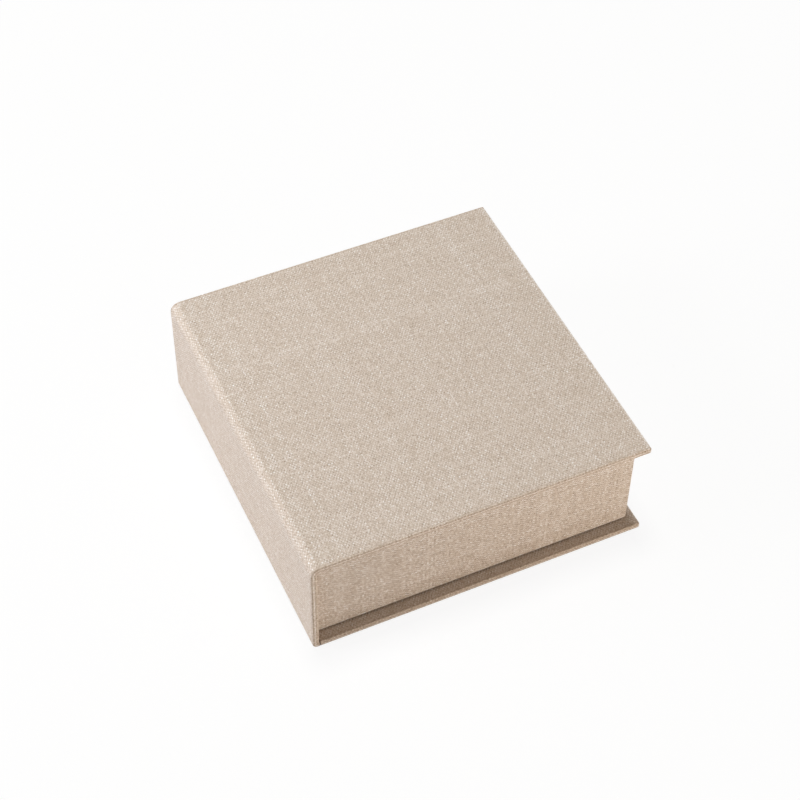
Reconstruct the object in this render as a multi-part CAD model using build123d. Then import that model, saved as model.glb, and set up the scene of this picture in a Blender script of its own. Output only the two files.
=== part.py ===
"""A square keepsake box built like a book, closed, and covered in woven book cloth.

A hinged case of three boards (bottom board, spine, lid board) carries two trays. The base tray is glued to
the bottom board. The lid tray is glued under the lid board, is open at the spine, and drops over the base
tray when the box is shut. X runs from the spine to the fore-edge, Y from front to back and Z up. The origin
is the middle of the shut box's footprint on the table. Lengths are in millimetres.
"""

import os
from math import cos, radians

from build123d import *

# ---- boards, cloth and paper
case_board = 2.5  # greyboard of the bottom board, spine and lid board
tray_board = 2.0  # greyboard of both trays
cloth = 0.4  # woven book cloth and its glue
paper = 0.2  # lining paper

# ---- the base tray, measured inside
inside_length = 150.0  # spine wall to fore wall
inside_width = 150.0  # front wall to back wall
inside_depth = 47.0  # lining to rim

# ---- how the trays and the case stand to each other
side_nest = 1.3  # room between the two trays' front walls, and between their back walls
fore_nest = 2.1  # room between their fore walls, which the lid needs to swing free
rim_gap = 0.3  # the base tray's rim to the lining of the lid
wall_lift = 0.8  # the lid tray's free rim to the bottom board's cloth
side_square = 5.5  # how far the case stands out past the lid tray at front and back
fore_square = 4.8  # and at the fore-edge
spine_gap = 0.6  # the spine's lining to the trays
joint_gap = 0.5  # the spine's lining to the end of the bottom board

# ---- bends, rounds and turn-ins
top_bend_radius = 4.8  # outer radius of the cloth where it turns from the spine onto the lid
foot_bend_radius = 2.5  # and where it turns from the spine under the bottom board
board_round = 0.6  # worn edge of a board, which the cloth follows
turn_in = 15.0  # how far the cloth is turned over an edge
seam_angle = 25.0  # degrees, the corner seam against the front edge
seam_width = 0.25
seam_depth = 0.2

# ---- thicknesses that follow
cloth_round = board_round + cloth
covered = case_board + 2 * cloth
wall = tray_board + 2 * cloth

# ---- heights, from the table up
base_top = covered
tray_floor_low = base_top + cloth
tray_floor_top = tray_floor_low + tray_board
lining_top = tray_floor_top + paper
rim = lining_top + inside_depth
lid_lining_low = rim + rim_gap
panel_low = lid_lining_low + paper
panel_top = panel_low + tray_board
lid_low = panel_top + cloth
height = lid_low + covered
lid_rim = base_top + wall_lift
top_crease = height - top_bend_radius

# ---- lengths, from the outer face of the spine
spine_board_face = cloth + case_board
base_board_end = covered + joint_gap
tray_end = covered + spine_gap
base_inside_end = tray_end + wall
base_inside_fore = base_inside_end + inside_length
base_tray_fore = base_inside_fore + wall
lid_inside_fore = base_tray_fore + fore_nest
lid_tray_fore = lid_inside_fore + wall
width = lid_tray_fore + fore_square

# ---- half widths, from the middle of the box
inside_half = inside_width / 2
base_tray_half = inside_half + wall
lid_inside_half = base_tray_half + side_nest
lid_tray_half = lid_inside_half + wall
half = lid_tray_half + side_square

TINY = 0.001


def block(x, y, z):
    """A box between two faces along each axis."""
    middle = Pos(sum(x) / 2, sum(y) / 2, sum(z) / 2)
    return middle * Box(x[1] - x[0], y[1] - y[0], z[1] - z[0])


def both(distance):
    """The span of Y from front to back at this distance from the middle."""
    return (-distance, distance)


def grown(span, by):
    return (span[0] - by, span[1] + by)


def prism(outline, reach):
    """An X-Z outline drawn out along Y, to the same reach at front and back."""
    return Pos(0, reach, 0) * extrude(Plane.XZ * make_face(outline), amount=2 * reach)


def level(edges):
    """The edges that don't stand upright: those that wear round on a board."""
    return edges.filter_by(Axis.Z, reverse=True)


def end_edges(solid, reach):
    """The edges of the front and back end faces."""

    def on_an_end(edge):
        box = edge.bounding_box()
        return abs(abs(box.min.Y) - reach) < TINY and abs(box.max.Y - box.min.Y) < TINY

    return solid.edges().filter_by(on_an_end)


# ---- the case: three boards and the cloth that wraps and hinges them


def off_hinge(slab, x):
    """The edges of a slab but for those of its hinged end, which is cut square at x."""
    return slab.edges().filter_by(lambda edge: edge.bounding_box().max.X > x + TINY)


def case_board_between(x, z):
    slab = block(x, both(half - cloth), z)
    return fillet(level(off_hinge(slab, x[0])), board_round)


def case_outside(x, z):
    slab = block(x, both(half), z)
    return fillet(off_hinge(slab, x[0]), cloth_round)


def corner_seams(z):
    """Grooves in the face at z, from the fore corners inwards, where the fore-edge turn-in ends."""
    length = turn_in / cos(radians(seam_angle))
    groove = block((-length, 0), (-seam_width / 2, seam_width / 2), (z - seam_depth, z + seam_depth))
    front = Pos(width, -half, 0) * Rot(0, 0, -seam_angle) * groove
    return [front, mirror(front, Plane.XZ)]


def base_board():
    return case_board_between((base_board_end, width - cloth), (cloth, cloth + case_board))


def lid_board():
    low = lid_low + cloth
    return case_board_between((top_bend_radius, width - cloth), (low, low + case_board))


def base_cover_cloth():
    """Cloth under the bottom board, turned over its three free edges."""
    outside = case_outside((base_board_end, width), (0, base_top))
    bare = block((0, width - turn_in), both(half - turn_in), (cloth + case_board, base_top))
    return outside - base_board() - bare - corner_seams(base_top)


def lid_cover_cloth():
    """Cloth over the lid board, turned under its three free edges."""
    outside = case_outside((top_bend_radius, width), (lid_low, height))
    bare = block((0, width - turn_in), both(half - turn_in), (lid_low, lid_low + cloth))
    return outside - lid_board() - bare - corner_seams(lid_low)


def spine_board():
    """The spine's board, its foot rounded where the cloth turns under the box."""
    bend = foot_bend_radius - cloth
    outline = (
        CenterArc((foot_bend_radius, foot_bend_radius), bend, 180, 90)
        + Line((foot_bend_radius, cloth), (spine_board_face, cloth))
        + Line((spine_board_face, cloth), (spine_board_face, top_crease))
        + Line((spine_board_face, top_crease), (cloth, top_crease))
        + Line((cloth, top_crease), (cloth, foot_bend_radius))
    )
    return prism(outline, half - cloth)


def spine_cover_cloth():
    """Cloth over the spine, turned in at front and back, between its two creases."""
    slab = block((0, covered), both(half), (foot_bend_radius, top_crease))
    outside = fillet(slab.edges().filter_by(Axis.Z), cloth_round)
    bare = block((spine_board_face, covered), both(half - turn_in), (foot_bend_radius, top_crease))
    return outside - spine_board() - bare


def spine_lining():
    """Cloth strip that fills the inner face of the spine between the turn-ins."""
    return block((spine_board_face, covered), both(half - turn_in), (foot_bend_radius, top_crease))


def lid_hinge_cloth():
    """The bend over the top of the spine: one layer, folded double and closed at front and back."""
    corner = (
        CenterArc((top_bend_radius, top_crease), top_bend_radius, 90, 90)
        + Line((0, top_crease), (covered, top_crease))
        + Line((covered, top_crease), (covered, lid_low))
        + Line((covered, lid_low), (top_bend_radius, lid_low))
        + Line((top_bend_radius, lid_low), (top_bend_radius, height))
    )
    hollow = (
        CenterArc((top_bend_radius, top_crease), top_bend_radius - cloth, 90, 90)
        + Line((cloth, top_crease), (top_bend_radius, top_crease))
        + Line((top_bend_radius, top_crease), (top_bend_radius, height - cloth))
    )
    outside = prism(corner, half)
    bend = end_edges(outside, half).filter_by(GeomType.CIRCLE)
    return fillet(bend, cloth_round) - prism(hollow, half - 2 * cloth)


def base_hinge_cloth():
    """The bend under the foot of the spine, up to the end of the bottom board."""
    corner = (
        CenterArc((foot_bend_radius, foot_bend_radius), foot_bend_radius, 180, 90)
        + Line((foot_bend_radius, 0), (covered, 0))
        + Line((covered, 0), (covered, foot_bend_radius))
        + Line((covered, foot_bend_radius), (0, foot_bend_radius))
    )
    outside = prism(corner, half)
    bend = end_edges(outside, half).filter_by(GeomType.CIRCLE)
    tongue = block((foot_bend_radius, base_board_end), both(half - cloth), (0, cloth))
    bare = block((spine_board_face, covered), both(half - turn_in), (cloth, foot_bend_radius))
    return fillet(bend, cloth_round) + tongue - spine_board() - bare


# ---- the trays: floors and walls of board, covered inside and out


def outer_edges(solid):
    """Each edge that lies in a face of the solid's bounding box: outer corners and rims alike."""
    box = solid.bounding_box()
    low, high = tuple(box.min), tuple(box.max)

    def in_a_face(edge):
        span = edge.bounding_box()
        ends = zip(tuple(span.min), tuple(span.max), low, high)
        return any(b - a < TINY and (a - lo < TINY or hi - b < TINY) for a, b, lo, hi in ends)

    return solid.edges().filter_by(in_a_face)


def base_tray_boards():
    """The base tray's floor and walls, cut from one form so that their worn edges meet."""
    x = (tray_end + cloth, base_tray_fore - cloth)
    inside_x = grown((base_inside_end, base_inside_fore), cloth)
    near, far = inside_half + cloth, base_tray_half - cloth
    walls_z = (tray_floor_top, rim)
    form = block(x, both(far), (tray_floor_low, rim - cloth)) - block(inside_x, both(near), walls_z)
    form = fillet(level(outer_edges(form)), board_round)
    return {
        "base_tray_floor": form & block(x, both(far), (tray_floor_low, tray_floor_top)),
        "base_tray_front_wall": form & block(x, (-far, -near), walls_z),
        "base_tray_back_wall": form & block(x, (near, far), walls_z),
        "base_tray_spine_wall": form & block((x[0], inside_x[0]), both(near), walls_z),
        "base_tray_fore_wall": form & block((inside_x[1], x[1]), both(near), walls_z),
    }


def lid_tray_boards():
    """The lid tray's panel and three walls, cut from one form. The side at the spine is open."""
    x = (tray_end + cloth, lid_tray_fore - cloth)
    inside_x = (x[0], lid_inside_fore + cloth)
    near, far = lid_inside_half + cloth, lid_tray_half - cloth
    walls_z = (lid_rim, panel_low)
    form = block(x, both(far), (lid_rim + cloth, panel_top)) - block(inside_x, both(near), walls_z)
    form = fillet(level(outer_edges(form)), board_round)
    return {
        "lid_tray_panel": form & block(x, both(far), (panel_low, panel_top)),
        "lid_tray_front_wall": form & block(x, (-far, -near), walls_z),
        "lid_tray_back_wall": form & block(x, (near, far), walls_z),
        "lid_tray_fore_wall": form & block((inside_x[1], x[1]), both(near), walls_z),
    }


def base_tray_cloth(boards):
    """Cloth outside, over the rim and inside, turned under the floor."""
    outside = block((tray_end, base_tray_fore), both(base_tray_half), (base_top, rim))
    inside = block((base_inside_end, base_inside_fore), both(inside_half), (tray_floor_top, rim))
    bare = block(
        (tray_end + turn_in, base_tray_fore - turn_in),
        both(base_tray_half - turn_in),
        (base_top, tray_floor_low),
    )
    shell = outside - inside
    return fillet(outer_edges(shell), cloth_round) - bare - boards


def base_tray_lining():
    x = (base_inside_end, base_inside_fore)
    return block(x, both(inside_half), (tray_floor_top, lining_top))


def lid_tray_cloth(boards):
    """Cloth outside, over the free rim and inside, round the walls' ends and turned over the panel."""
    outside = block((tray_end, lid_tray_fore), both(lid_tray_half), (lid_rim, lid_low))
    inside = block((tray_end, lid_inside_fore), both(lid_inside_half), (lid_rim, panel_low))
    bare = block(
        (tray_end + turn_in, lid_tray_fore - turn_in),
        both(lid_tray_half - turn_in),
        (panel_top, lid_low),
    )
    shell = outside - inside
    return fillet(outer_edges(shell), cloth_round) - bare - boards


def lid_tray_lining():
    x = (tray_end + cloth_round, lid_inside_fore)
    return block(x, both(lid_inside_half), (lid_lining_low, panel_low))


base_boards = base_tray_boards()
lid_boards = lid_tray_boards()
nodes = {
    "base_board": base_board(),
    "base_cover_cloth": base_cover_cloth(),
    **base_boards,
    "base_tray_cloth": base_tray_cloth(list(base_boards.values())),
    "base_tray_lining": base_tray_lining(),
    "spine_board": spine_board(),
    "spine_cover_cloth": spine_cover_cloth(),
    "spine_lining": spine_lining(),
    "base_hinge_cloth": base_hinge_cloth(),
    "lid_hinge_cloth": lid_hinge_cloth(),
    "lid_board": lid_board(),
    "lid_cover_cloth": lid_cover_cloth(),
    **lid_boards,
    "lid_tray_cloth": lid_tray_cloth(list(lid_boards.values())),
    "lid_tray_lining": lid_tray_lining(),
}

os.makedirs("parts", exist_ok=True)
to_origin = Pos(-width / 2, 0, 0)
for name, solid in nodes.items():
    export_step(to_origin * solid, f"parts/{name}.step")
print(f"{width:.1f} x {2 * half:.1f} x {height:.1f}, {len(nodes)} nodes")
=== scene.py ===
import math

import bmesh
import bpy
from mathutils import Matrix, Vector


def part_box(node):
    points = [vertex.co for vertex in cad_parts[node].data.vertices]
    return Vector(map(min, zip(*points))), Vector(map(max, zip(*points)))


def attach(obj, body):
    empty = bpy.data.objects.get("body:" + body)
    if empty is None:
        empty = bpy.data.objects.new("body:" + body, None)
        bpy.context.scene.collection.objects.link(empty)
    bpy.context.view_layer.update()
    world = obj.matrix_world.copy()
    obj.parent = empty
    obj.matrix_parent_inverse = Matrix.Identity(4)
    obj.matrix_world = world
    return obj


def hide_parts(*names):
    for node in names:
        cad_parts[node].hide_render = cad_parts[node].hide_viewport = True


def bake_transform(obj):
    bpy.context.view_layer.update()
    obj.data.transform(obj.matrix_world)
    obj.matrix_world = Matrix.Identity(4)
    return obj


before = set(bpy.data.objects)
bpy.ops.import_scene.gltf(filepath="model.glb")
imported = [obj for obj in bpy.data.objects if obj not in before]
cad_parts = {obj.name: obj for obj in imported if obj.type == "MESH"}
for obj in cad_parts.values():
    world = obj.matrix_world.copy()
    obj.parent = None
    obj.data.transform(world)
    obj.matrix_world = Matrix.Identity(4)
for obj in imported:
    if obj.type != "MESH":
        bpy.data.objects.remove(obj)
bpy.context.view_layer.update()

# ---- Cloth over the lid and the spine
# One sheet of natural linen book cloth wraps the whole case. This is the part of it that covers the lid
# board, bends over the top of the spine, covers the spine, and is turned in 15 mm at its edges.

CLOTH = 0.0004
TURN_IN = 0.015
LID_EDGE = 0.0009
EDGE_STEPS = 5
BEND_STEPS = 18
NEAR = 0.00001

# From one thread to the next, and how far threads wander, as a share of that.
WARP_PITCH = 0.00076
WEFT_PITCH = 0.00098
SWAY = 0.3

# How far threads rise where they cross, and how far those along a wrapped edge rise. The latter rise from a
# little before the edge until the cloth lies flat again.
CROSSING = 0.55
ALONG_EDGE = 0.75
HUG_BEFORE = 0.0015
HUG_AFTER = 0.0045
HUG_FADE = 0.0004

# Painted highlight and shade on the ridged threads of a wrapped edge: their pitch, where the first dark
# line of painted shade lies, the band's middle and reach, and how far crossing threads break the lines into
# dashes.
RIDGE = 0.0015
RIDGE_START = 0.00015
BAND_MIDDLE = 0.0009
BAND_REACH = 0.0026
DASHED = 0.6

# A yarn, in threads: its half thickness where it is thin and what slubs add to that, the noise steps along
# it for slubs and for fibres, and the fibre strands across it.
THIN = 0.3
SLUB_THICK = 0.4
SLUB_RUN = 0.2
FIBRE_RUN = 0.7
STRANDS = 2.6
YARN_APART = 7.31  # sets the noise of one yarn off from the next one's

# Contrast of the fibres, of one yarn against the next as a share of its slubs' contrast, of rare pale
# yarns, of single crossings, of warp against weft, of clouds and of the painted highlight and shade on the
# ridged threads of an edge.
FIBRE = 1.9
OWN = 0.15
STRAY = 0.1
SPUN = 0.12
PALER = 0.09
CLOUDY = 0.04
RIDGE_SHADING = 0.24
LINEN = ((0.34, 0.25, 0.18, 1), (0.665, 0.56, 0.465, 1), (1.0, 1.0, 1.0, 1))
# Painted shade: the colour that the pits between threads are darkened towards.
PIT_SHADE = (0.27, 0.20, 0.14, 1)

# How far a thread stands up, and how far the whole sheet swells.
THREAD_RELIEF = 0.00006
SHEET_RELIEF = 0.00015

# From the frame: half the box's depth, its fore-edge, the thickness of a covered board, and the radius and
# the height of the bend over the spine.
lid_low, lid_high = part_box("lid_cover_cloth")
spine_low, spine_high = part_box("spine_cover_cloth")
half = lid_high.y
fore = lid_high.x
covered = lid_high.z - lid_low.z
top_bend = lid_low.x - spine_low.x
top_crease = lid_high.z - top_bend


class Wire:
    """One output of a shader node, which Python's own operators extend with Math nodes."""

    def __init__(self, tree, socket):
        self.tree, self.socket = tree, socket

    def node(self, kind, settings=None, inputs=None, output=0):
        made = self.tree.nodes.new(kind)
        for name, value in (settings or {}).items():
            setattr(made, name, value)
        for key, value in (inputs or {}).items():
            if isinstance(value, Wire):
                self.tree.links.new(value.socket, made.inputs[key])
            else:
                made.inputs[key].default_value = value
        return Wire(self.tree, made.outputs[output])

    def maths(self, operation, *values):
        return self.node("ShaderNodeMath", {"operation": operation}, dict(enumerate(values)))

    def __add__(self, other):
        return self.maths("ADD", self, other)

    def __sub__(self, other):
        return self.maths("SUBTRACT", self, other)

    def __rsub__(self, other):
        return self.maths("SUBTRACT", other, self)

    def __mul__(self, other):
        return self.maths("MULTIPLY", self, other)

    def __truediv__(self, other):
        return self.maths("DIVIDE", self, other)

    __radd__ = __add__
    __rmul__ = __mul__

    def size(self):
        return self.maths("ABSOLUTE", self)

    def cosine(self):
        return self.maths("COSINE", self)

    def clamped(self):
        return self.node("ShaderNodeClamp", {}, {0: self})

    def mixed(self, one, other):
        """A colour that goes from one to the other as this goes from 0 to 1."""
        return self.node("ShaderNodeMix", {"data_type": "RGBA"}, {0: self, 6: one, 7: other}, 2)

    def ramp(self, *stops):
        """A colour read from evenly spaced stops as this goes from 0 to 1."""
        made = self.node("ShaderNodeValToRGB", {}, {0: self})
        band = made.socket.node.color_ramp
        band.elements[0].color = stops[0]
        band.elements[1].color = stops[-1]
        for index, colour in enumerate(stops[1:-1], start=1):
            band.elements.new(index / (len(stops) - 1)).color = colour
        return made

    def noise(self, place, scale, detail=2.0, roughness=0.5, output=0):
        inputs = {"Vector": place, "Scale": scale, "Detail": detail, "Roughness": roughness}
        return self.node("ShaderNodeTexNoise", {}, inputs, output)


def new_material(name, **finish):
    """A material, its shader with uniform values set, and a wire to start its nodes from."""
    material = bpy.data.materials.new(name)
    material.use_nodes = True
    shader = material.node_tree.nodes["Principled BSDF"]
    for socket, value in finish.items():
        shader.inputs[socket.replace("_", " ")].default_value = value
    return material, shader, Wire(material.node_tree, shader.outputs[0])


def finish_with(material, shader, colour, relief, strength):
    """Send a colour, and a relief in metres, to the shader of a material."""
    bump = relief.node("ShaderNodeBump", {}, {"Strength": strength, "Distance": 1.0, "Height": relief})
    material.node_tree.links.new(colour.socket, shader.inputs["Base Color"])
    material.node_tree.links.new(bump.socket, shader.inputs["Normal"])
    return material


def yarns(here, run, offset, streaks):
    """Number, height and tone of yarns that lie side by side in 'here' and run on in 'run'."""
    count = here.maths("FLOOR", here)
    aside = here.maths("FRACT", here) - 0.5
    aloof = count * YARN_APART + offset
    spot = here.node("ShaderNodeCombineXYZ", {}, {0: aloof, 1: run * SLUB_RUN, 2: offset})
    slub = here.noise(spot, 1.0, 2.0, 0.6)
    inside = here * STRANDS + offset
    strand = here.node("ShaderNodeCombineXYZ", {}, {0: inside, 1: run * FIBRE_RUN, 2: offset})
    fibre = here.noise(strand, 1.0, 2.0, 0.7)
    own = here.node("ShaderNodeTexWhiteNoise", {"noise_dimensions": "1D"}, {"W": count + offset})
    stray = own.maths("POWER", own, 9.0)
    ratio = aside / (slub * SLUB_THICK + THIN)
    rounded = 1 - ratio * ratio
    height = rounded.maths("MAXIMUM", rounded, -0.8)
    tone = (fibre - 0.5) * FIBRE + (slub - 0.5) * streaks
    tone = tone + (own - 0.5) * (streaks * OWN) + stray * STRAY
    return count, height, tone


def woven(name, mapped=True, axes=(0, 1), flat=(1.0, 1.0), lean=0.0, streaks=0.4, contrast=1.0):
    """Plain-weave cloth, laid along two axes of the piece's weave map or of its Object coordinates.

    The cloth is flat as far as 'flat' says for each axis. Past that it is wrapped tightly over an edge,
    where the threads that run along the edge stand out, with painted lines of highlight and shade on them.
    A negative 'lean' brings the weft up, and 'streaks' is how much a yarn's tone changes along it.
    """
    finish = {"Roughness": 0.9, "Specular_IOR_Level": 0.15, "Sheen_Weight": 0.06, "Sheen_Roughness": 0.5}
    material, shader, start = new_material(name, **finish)
    if mapped:
        place = start.node("ShaderNodeUVMap", {"uv_map": "weave"})
    else:
        place = start.node("ShaderNodeTexCoord", output=3)
    sway = start.noise(place, 200.0, output=1)
    ways = [start.node("ShaderNodeSeparateXYZ", {}, {0: place}, axis) for axis in axes]
    drift = [start.node("ShaderNodeSeparateXYZ", {}, {0: sway}, axis) - 0.5 for axis in (0, 1)]
    across = ways[0] * (1 / WARP_PITCH) + drift[0] * SWAY
    along = ways[1] * (1 / WEFT_PITCH) + drift[1] * SWAY
    warp_count, warp, warp_tone = yarns(across, along, 0.0, streaks)
    weft_count, weft, weft_tone = yarns(along, across, 41.0, streaks)
    parity = ((warp_count + weft_count) * math.pi).cosine()
    checker = parity * CROSSING + lean
    # Painted highlight and shade: light and dark lines along each wrapped edge, where its threads stand up.
    ridge_shades = []
    for way, limit, rise in zip((ways[0], ways[1].size()), flat, (ALONG_EDGE, -ALONG_EDGE)):
        past = way - limit
        begun = ((past + HUG_BEFORE) * (1 / HUG_FADE)).clamped()
        unfinished = ((HUG_AFTER - past) * (1 / HUG_FADE)).clamped()
        checker = begun * unfinished * (rise - checker) + checker
        wave = ((past - RIDGE_START) * (2 * math.pi / RIDGE)).cosine()
        band = (1 - (past - BAND_MIDDLE).size() * (1 / BAND_REACH)).clamped()
        ridge_shades.append(wave * band * (parity * DASHED + 1))
    upper = ((warp + checker - weft + checker) * 3.0 + 0.5).clamped()
    height = upper.maths("MAXIMUM", warp + checker, weft - checker)
    crossing = start.node("ShaderNodeCombineXYZ", {}, {0: warp_count, 1: weft_count})
    spun = start.node("ShaderNodeTexWhiteNoise", {"noise_dimensions": "2D"}, {0: crossing})
    cloud = start.noise(place, 60.0, 3.0)
    tone = upper * (warp_tone + PALER) + (1 - upper) * (weft_tone - PALER)
    tone = (tone + (spun - 0.5) * SPUN) * contrast + (cloud - 0.5) * CLOUDY
    # The painted lines of highlight and shade along the wrapped edges are taken off the tone here.
    tone = tone - (ridge_shades[0] + ridge_shades[1]) * RIDGE_SHADING + 0.5
    # Painted shade: where the threads sink low, the colour goes towards the dark pit colour.
    pit_shade = (0.5 - height * 0.55).clamped()
    colour = pit_shade.mixed(tone.clamped().ramp(*LINEN), PIT_SHADE)
    relief = height * THREAD_RELIEF + start.noise(place, 70.0, 1.0) * SHEET_RELIEF
    return finish_with(material, shader, colour, relief, 0.7)


def block(name, low, high):
    """A block between two corners, in edit mode with nothing selected."""
    bpy.ops.object.select_all(action="DESELECT")
    middle = (Vector(low) + Vector(high)) / 2
    bpy.ops.mesh.primitive_cube_add(size=1, location=middle, scale=Vector(high) - Vector(low))
    bpy.ops.object.transform_apply(location=True, rotation=True, scale=True)
    piece = bpy.context.object
    piece.name = piece.data.name = name
    bpy.ops.object.mode_set(mode="EDIT")
    bpy.ops.mesh.select_all(action="DESELECT")
    return piece


def pick(kind, test):
    """Select the edges or faces that pass a test, and nothing else."""
    bpy.ops.mesh.select_mode(type=kind)
    bpy.ops.mesh.select_all(action="DESELECT")
    mesh = bpy.context.object.data
    shape = bmesh.from_edit_mesh(mesh)
    for part in shape.edges if kind == "EDGE" else shape.faces:
        part.select_set(test(part))
    shape.select_flush_mode()
    bmesh.update_edit_mesh(mesh)


def every(part, test):
    """Whether all corners of an edge or a face pass a test on their place."""
    return all(test(corner.co) for corner in part.verts)


def cut(place, normal):
    """Cut the selected faces along a plane, and leave all of it."""
    bpy.ops.mesh.bisect(plane_co=place, plane_no=normal)


def round_off(radius):
    """Round the selected edges, as the cloth does over worn board."""
    bpy.ops.mesh.bevel(offset=radius, segments=EDGE_STEPS, affect="EDGES", clamp_overlap=False)


def extrude(x=0.0, z=0.0):
    """Draw the selection out along X or Z."""
    bpy.ops.mesh.extrude_region_move(TRANSFORM_OT_translate={"value": (x, 0, z)})


def board_skin(name, low, high, radius):
    """The skin of a covered board with worn edges, open at the end towards the spine."""
    piece = block(name, low, high)
    hinged = lambda co: co.x < low.x + NEAR
    pick("EDGE", lambda edge: not every(edge, hinged))
    round_off(radius)
    pick("FACE", lambda face: every(face, hinged))
    bpy.ops.mesh.delete(type="ONLY_FACE")
    return piece


def leave_turn_ins(glued_side):
    """Take the middle out of the side that is glued to the board, and leave the turn-ins round it."""
    for side in (-1, 1):
        pick("FACE", glued_side)
        cut((0, side * (half - TURN_IN), 0), (0, 1, 0))
    pick("FACE", glued_side)
    cut((fore - TURN_IN, 0, 0), (1, 0, 0))
    within = lambda co: abs(co.y) < half - TURN_IN + NEAR and co.x < fore - TURN_IN + NEAR
    pick("FACE", lambda face: glued_side(face) and every(face, within))
    bpy.ops.mesh.delete(type="FACE")


def sheet_of(piece, thickness):
    """Leave edit mode and give the skin its thickness, inwards."""
    bpy.ops.object.mode_set(mode="OBJECT")
    skin = piece.modifiers.new("thickness", "SOLIDIFY")
    skin.thickness = thickness
    skin.offset = -1
    skin.use_even_offset = True
    bpy.ops.object.modifier_apply(modifier=skin.name)
    bpy.ops.object.shade_smooth_by_angle(angle=math.radians(35))


def over_edge(before, depth, thickness, radius):
    """How far past an edge of a board a point lies, measured along cloth that wraps the edge."""
    saved = (2 - math.pi / 2) * radius
    if depth > thickness / 2:
        return thickness - 2 * saved - over_edge(before, thickness - depth, thickness, radius)
    if before < radius and depth < radius:
        return radius * (math.atan2(radius - before, radius - depth) - 1)
    return -before if depth < before else depth - saved


def over_side(point, depth, radius):
    """The weave map's second value on a covered board: from the middle of the box out and over its side."""
    return math.copysign(half + over_edge(half - abs(point.y), depth, covered, radius), point.y)


def on_fore_edge(normal, middle):
    """Whether a face belongs to the cloth that wraps the fore-edge of a board."""
    return abs(normal.x) > abs(normal.y) and fore - middle.x < TURN_IN / 2


def lay_weave(piece, chart):
    """Give the piece its weave map: a chart turns a point and its face's normal into metres of cloth."""
    layer = piece.data.uv_layers.new(name="weave")
    for face in piece.data.polygons:
        for corner in face.loop_indices:
            point = piece.data.vertices[piece.data.loops[corner].vertex_index].co
            layer.data[corner].uv = chart(point, face.normal, face.center)


lid_case = board_skin("lid_case_cloth", lid_low, lid_high, LID_EDGE)
pick("EDGE", lambda edge: every(edge, lambda co: co.x < lid_low.x + NEAR))
bend_centre = (lid_low.x, 0, top_crease)
bpy.ops.mesh.spin(steps=BEND_STEPS, angle=math.pi / 2, center=bend_centre, axis=(0, 1, 0))
pick("EDGE", lambda edge: every(edge, lambda co: co.z < top_crease + NEAR))
extrude(z=spine_low.z - top_crease)
bpy.ops.mesh.select_all(action="SELECT")
bpy.ops.mesh.remove_doubles(threshold=NEAR)
bpy.ops.mesh.normals_make_consistent(inside=False)


def inner_side(face):
    """The side of the lid's and spine's cloth that faces into the box."""
    point = face.calc_center_median()
    if point.x > lid_low.x:
        return abs(point.z - lid_low.z) < NEAR
    if point.z < top_crease:
        return abs(point.x - spine_high.x) < NEAR
    return math.hypot(point.x - lid_low.x, point.z - top_crease) < top_bend - covered + NEAR


leave_turn_ins(inner_side)
sheet_of(lid_case, CLOTH)


def lid_chart(point, normal, middle):
    """Cloth runs from the lid's fore-edge over the bend and down the spine."""
    if middle.x > lid_low.x:
        run, depth = point.x, lid_high.z - point.z
        if on_fore_edge(normal, middle):
            return fore + over_edge(fore - point.x, depth, covered, LID_EDGE), point.y
    elif middle.z > top_crease:
        aside, up = lid_low.x - point.x, point.z - top_crease
        run, depth = lid_low.x - top_bend * math.atan2(aside, up), top_bend - math.hypot(aside, up)
    else:
        run = lid_low.x - top_bend * math.pi / 2 - (top_crease - point.z)
        depth = point.x - spine_low.x
    return run, over_side(point, depth, LID_EDGE)


case_cloth = woven("case_cloth", flat=(fore, half))
lay_weave(lid_case, lid_chart)
lid_case.data.materials.append(case_cloth)
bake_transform(lid_case)
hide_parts("lid_cover_cloth", "lid_hinge_cloth", "spine_cover_cloth")

# ---- Cloth under the bottom board
# The rest of the same sheet: it turns under the foot of the spine, covers the bottom board and is turned in
# over its three free edges, so that the boards are hinged by nothing but cloth.

BASE_EDGE = 0.0006
FOOT_STEPS = 12
base_low, base_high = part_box("base_cover_cloth")
foot = spine_low.z  # radius of the bend under the spine
foot_centre = spine_low.x + foot

base_case = board_skin("base_case_cloth", base_low, base_high, BASE_EDGE)
leave_turn_ins(lambda face: abs(face.calc_center_median().z - base_high.z) < NEAR)
sheet_of(base_case, CLOTH)

# The spine's outline is swept a quarter turn round the foot and on to the inner face of the spine.
foot_case = block("foot_cloth", (spine_low.x, -half, foot), (foot_centre, half, foot + covered))
upright = lambda edge: abs(edge.verts[0].co.z - edge.verts[1].co.z) > NEAR
pick("EDGE", lambda edge: upright(edge) and every(edge, lambda co: co.x < foot_centre - NEAR))
round_off(BASE_EDGE)
bottom = lambda edge: every(edge, lambda co: co.z < foot + NEAR)
pick("EDGE", lambda edge: bottom(edge) and not every(edge, lambda co: co.x > foot_centre - NEAR))
bpy.ops.mesh.spin(steps=FOOT_STEPS, angle=math.pi / 2, center=(foot_centre, 0, foot), axis=(0, 1, 0))
pick("FACE", lambda face: every(face, lambda co: co.z > foot - NEAR))
bpy.ops.mesh.delete(type="FACE")
bpy.ops.mesh.select_all(action="SELECT")
bpy.ops.mesh.remove_doubles(threshold=NEAR)
pick("EDGE", lambda edge: every(edge, lambda co: co.x > foot_centre - NEAR))
extrude(x=spine_high.x - foot_centre)

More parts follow.
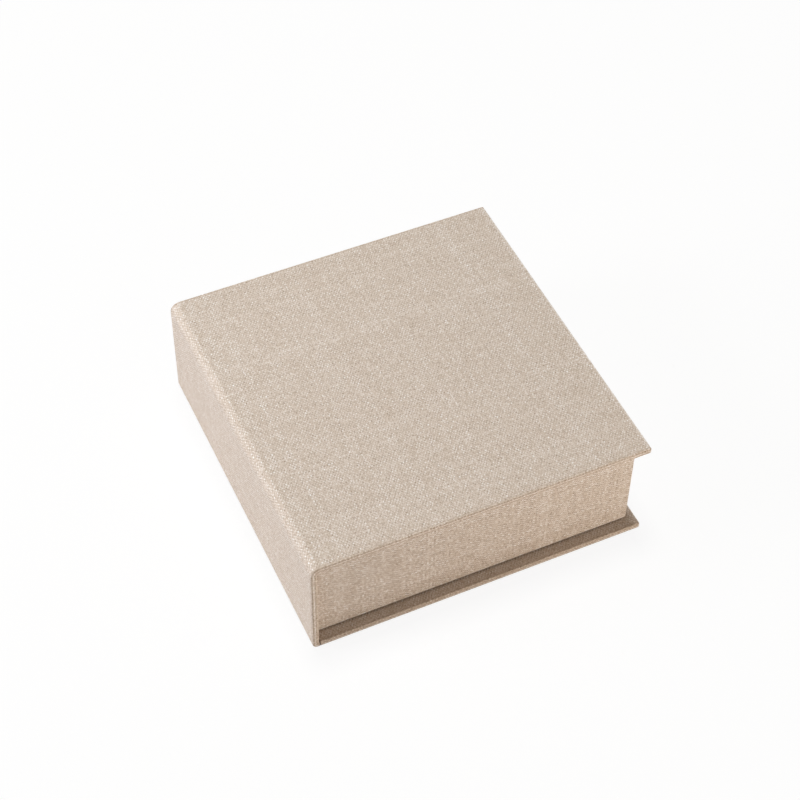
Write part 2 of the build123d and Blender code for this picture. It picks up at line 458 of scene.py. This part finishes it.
# Over the width of the turn-ins the cloth is folded double, so its end is closed there.
flat_end = half - BASE_EDGE
for side in (-1, 1):
    pick("FACE", lambda face: abs(face.calc_center_median().z - base_low.z) < NEAR)
    cut((0, side * (half - TURN_IN), 0), (0, 1, 0))
    folded = lambda co: co.x > spine_high.x - NEAR and co.y * side > half - TURN_IN - NEAR
    pick("EDGE", lambda edge: every(edge, lambda co: folded(co) and co.y * side < flat_end + NEAR))
    extrude(z=foot)
    pick("EDGE", lambda edge: every(edge, lambda co: folded(co) and co.y * side > flat_end - NEAR))
    bpy.ops.mesh.edge_face_add()
bpy.ops.mesh.select_all(action="SELECT")
bpy.ops.mesh.normals_make_consistent(inside=False)
sheet_of(foot_case, CLOTH)

# A single layer crosses the crease between the foot and the board.
crease_low = (spine_high.x - CLOTH, -half + CLOTH, base_low.z)
crease_case = block("crease_cloth", crease_low, (base_low.x, half - CLOTH, base_low.z + CLOTH))
bpy.ops.object.mode_set(mode="OBJECT")

bpy.ops.object.select_all(action="DESELECT")
for part in (foot_case, crease_case, base_case):
    part.select_set(True)
bpy.context.view_layer.objects.active = base_case
bpy.ops.object.join()


def base_chart(point, normal, middle):
    """Cloth runs from the bottom board's fore-edge to the foot and up the spine."""
    if middle.x > foot_centre:
        run, depth = point.x, point.z - base_low.z
    else:
        aside, down = foot_centre - point.x, foot - point.z
        run, depth = foot_centre - foot * math.atan2(aside, down), foot - math.hypot(aside, down)
    if on_fore_edge(normal, middle):
        return fore + over_edge(fore - point.x, depth, covered, BASE_EDGE), point.y
    return run, over_side(point, depth, BASE_EDGE)


lay_weave(base_case, base_chart)
base_case.data.materials.append(case_cloth)
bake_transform(base_case)
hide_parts("base_cover_cloth", "base_hinge_cloth")

# ---- Turn-in of the bottom board's fore-edge
# The last part of the sheet to be glued: it is folded back over the fore-edge and lies on the turn-ins of
# the two sides. It is cut at a slant at both corners, and the cut edge shows as a seam on the shelf.

FOLD_OVER = 0.0003
FOLD_WIDTH = 0.008
FOLD_INSET = 0.0007
CUT_INSET = 0.0004
CUT_SLANT = 0.475
CUT_ROUND = 0.00012

fold_fore = fore - FOLD_INSET
fold_low = (fold_fore - FOLD_WIDTH, -half, base_high.z - NEAR)
turn_in = block("fore_turn_in", fold_low, (fold_fore, half, base_high.z + FOLD_OVER))
for side in (-1, 1):
    bpy.ops.mesh.select_all(action="SELECT")
    corner = (fore - CUT_INSET, side * (half - FOLD_INSET), 0)
    bpy.ops.mesh.bisect(plane_co=corner, plane_no=(CUT_SLANT, -side, 0), clear_inner=True, use_fill=True)
pick("EDGE", lambda edge: every(edge, lambda co: co.z > base_high.z + NEAR))
bpy.ops.mesh.bevel(offset=CUT_ROUND, segments=2, affect="EDGES")
bpy.ops.object.mode_set(mode="OBJECT")
bpy.ops.object.shade_smooth_by_angle(angle=math.radians(50))
lay_weave(turn_in, lambda point, normal, middle: (2 * fore + covered - point.x, point.y))
turn_in.data.materials.append(case_cloth)
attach(turn_in, "base")

# ---- Base tray's cloth
# The tray is made of greyboard and covered with the same cloth outside, over its rims and down inside. Its
# threads are turned, so that the weft stands upright on the walls and shows more.

TRAY_EDGE = 0.0005
RIM = 0.1  # the weave map's second value at the rim, which keeps the whole map above 0
base_tray_low, base_tray_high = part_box("base_tray_cloth")
inside_low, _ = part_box("base_tray_lining")
wall = inside_low.x - base_tray_low.x


def round_outside(low, high):
    """Round the edges that lie in the faces of a tray's outer box, and skip flat seams between faces."""

    def worn(edge):
        if not edge.is_manifold or edge.calc_face_angle(0) < 0.1:
            return False
        levels = [(axis, corner[axis]) for axis in range(3) for corner in (low, high)]
        return any(every(edge, lambda co: abs(co[axis] - level) < NEAR) for axis, level in levels)

    pick("EDGE", worn)
    round_off(TRAY_EDGE)


def open_middle(glued_side):
    """Leave a margin of a flat side, as wide as a turn-in, and take out what is inside it."""
    pick("FACE", glued_side)
    bpy.ops.mesh.inset(thickness=TURN_IN, depth=0)
    bpy.ops.mesh.delete(type="ONLY_FACE")


base_tray = block("base_tray_wrap", base_tray_low, base_tray_high)
pick("FACE", lambda face: face.normal.z > 0.9)
bpy.ops.mesh.inset(thickness=wall, depth=0)
extrude(z=inside_low.z - base_tray_high.z)
bpy.ops.mesh.delete(type="ONLY_FACE")
open_middle(lambda face: face.normal.z < -0.9)
round_outside(base_tray_low, base_tray_high)
sheet_of(base_tray, CLOTH)


def tray_chart(low, high, rim_level):
    """Cloth runs up the outside of a tray's wall, over its rim and on inside."""

    def chart(point, normal, middle):
        from_sides = min(middle.y - low.y, high.y - middle.y)
        from_ends = min(middle.x - low.x, high.x - middle.x)
        if from_sides < from_ends:
            run, depth = point.x, min(point.y - low.y, high.y - point.y)
        else:
            run, depth = point.y + high.x + high.y, min(point.x - low.x, high.x - point.x)
        return run, RIM + over_edge(abs(rim_level - point.z), depth, wall, TRAY_EDGE)

    return chart


tray_cloth = woven("tray_cloth", axes=(1, 0), flat=(RIM, 1.0), lean=-0.25, streaks=0.7, contrast=1.2)
lay_weave(base_tray, tray_chart(base_tray_low, base_tray_high, base_tray_high.z))
base_tray.data.materials.append(tray_cloth)
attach(base_tray, "base")
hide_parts("base_tray_cloth")

# ---- Lid tray's cloth
# The same for the tray under the lid: a panel with three walls that hang from it, open towards the spine.

lid_tray_low, lid_tray_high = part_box("lid_tray_cloth")
roof_low, roof_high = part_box("lid_tray_lining")
panel_low = roof_high.z

lid_tray = block("lid_tray_wrap", (lid_tray_low.x, lid_tray_low.y, panel_low), lid_tray_high)
for place, across_wall in ((roof_low, (0, 1, 0)), (roof_high, (0, 1, 0)), (roof_high, (1, 0, 0))):
    pick("FACE", lambda face: face.normal.z < -0.9)
    cut(place, across_wall)
under_panel = lambda co: abs(co.y) < roof_high.y + NEAR and co.x < roof_high.x + NEAR
pick("FACE", lambda face: face.normal.z < -0.9 and not every(face, under_panel))
extrude(z=lid_tray_low.z - panel_low)
bpy.ops.mesh.select_all(action="SELECT")
bpy.ops.mesh.dissolve_limited(angle_limit=math.radians(1))
bpy.ops.mesh.normals_make_consistent(inside=False)
pick("FACE", lambda face: face.normal.z < -0.9 and every(face, under_panel))
bpy.ops.mesh.delete(type="ONLY_FACE")
open_middle(lambda face: face.normal.z > 0.9)
round_outside(lid_tray_low, lid_tray_high)
sheet_of(lid_tray, CLOTH)
lay_weave(lid_tray, tray_chart(lid_tray_low, lid_tray_high, lid_tray_low.z))
lid_tray.data.materials.append(tray_cloth)
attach(lid_tray, "lid")
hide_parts("lid_tray_cloth")

# ---- Linings and boards
# Paper lines the floor of the base tray and the ceiling of the lid tray, and a strip of the cloth lines the
# spine. The greyboards are wholly covered.


def lining_paper():
    """Uncoated warm white paper with fine fibres."""
    material, shader, start = new_material("lining_paper", Roughness=0.85, Specular_IOR_Level=0.2)
    place = start.node("ShaderNodeTexCoord", output=3)
    fibre = start.noise(place, 900.0, 4.0, 0.7)
    cloudy = start.noise(place, 35.0)
    tone = (fibre * 0.6 + cloudy * 0.5 - 0.05).clamped()
    colour = tone.mixed((0.60, 0.55, 0.475, 1), (0.74, 0.69, 0.61, 1))
    return finish_with(material, shader, colour, fibre * 0.00004, 0.6)


def greyboard():
    """Pressed grey-brown board with darker and paler flecks."""
    material, shader, start = new_material("greyboard", Roughness=0.9, Specular_IOR_Level=0.2)
    place = start.node("ShaderNodeTexCoord", output=3)
    fleck = start.noise(place, 1400.0, 3.0, 0.7)
    cloudy = start.noise(place, 120.0, 3.0)
    tone = (fleck * 0.9 + cloudy * 0.4 - 0.2).clamped()
    colour = tone.mixed((0.17, 0.155, 0.14, 1), (0.36, 0.335, 0.30, 1))
    return finish_with(material, shader, colour, fleck * 0.00006, 0.6)


def finish_node(name, material):
    """Give a CAD node its finish."""
    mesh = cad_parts[name].data
    mesh.materials.clear()
    mesh.materials.append(material)


paper = lining_paper()
board = greyboard()
finish_node("base_tray_lining", paper)
finish_node("lid_tray_lining", paper)
finish_node("spine_lining", woven("spine_lining_cloth", mapped=False, axes=(2, 1)))
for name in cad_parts:
    if name.endswith(("board", "wall", "floor", "panel")):
        finish_node(name, board)

# ---- Studio
# A white table that runs out of sight, seen from the front left. The spine is lit by a window on the left,
# the lid by a lamp overhead, and the front wall by a small warm lamp that stands low in front.

CAMERA_PLACE = (-0.26574, -0.55566, 0.75340)
CAMERA_TURN = (40.8224, -0.6720, -24.6408)
CAMERA_LENS = 88.871
TABLE = (0.95, 0.95, 0.95, 1)
GLARE = 0.9
SURROUND = (0.9, 0.8, 0.735, 1)
SURROUND_STRENGTH = 0.156

bpy.ops.object.camera_add(location=CAMERA_PLACE)
camera = bpy.context.object
camera.rotation_euler = [math.radians(turn) for turn in CAMERA_TURN]
camera.data.lens = CAMERA_LENS
camera.data.sensor_width = 36
bpy.context.scene.camera = camera

bpy.ops.mesh.primitive_plane_add(size=8)
table = bpy.context.object
table.name = "table"
white, _, start = new_material("white_table", Roughness=0.9, Specular_IOR_Level=0.0, Base_Color=TABLE)
glow = start.node("ShaderNodeEmission", {}, {"Color": (1, 1, 1, 1), "Strength": 1.0})
seen = start.node("ShaderNodeLightPath") * GLARE
mix = start.node("ShaderNodeMixShader", {}, {0: seen, 1: start, 2: glow})
output = white.node_tree.nodes["Material Output"]
white.node_tree.links.new(mix.socket, output.inputs["Surface"])
table.data.materials.append(white)


def soft_light(name, place, aim, size, power, colour):
    """A square lamp that faces a point."""
    bpy.ops.object.light_add(type="AREA", location=place)
    lamp = bpy.context.object
    lamp.name = name
    lamp.data.energy = power
    lamp.data.size = size
    lamp.data.color = colour
    lamp.rotation_euler = (Vector(aim) - Vector(place)).to_track_quat("-Z", "Y").to_euler()


soft_light("window", (-1.6, 0.35, 0.7), (0, 0, 0), 0.8, 17, (0.96, 0.96, 1.0))
soft_light("overhead", (0.0, 0.3, 2.0), (0, 0, 0), 0.5, 24.6, (1.0, 1.0, 0.97))
soft_light("front", (0.42, -0.64, 0.03), (0, 0, 0.03), 0.06, 2.15, (1.0, 0.85, 0.70))
world = bpy.data.worlds.new("studio")
world.use_nodes = True
background = world.node_tree.nodes["Background"]
background.inputs["Color"].default_value = SURROUND
background.inputs["Strength"].default_value = SURROUND_STRENGTH
bpy.context.scene.world = world
bpy.context.scene.view_settings.view_transform = "Standard"
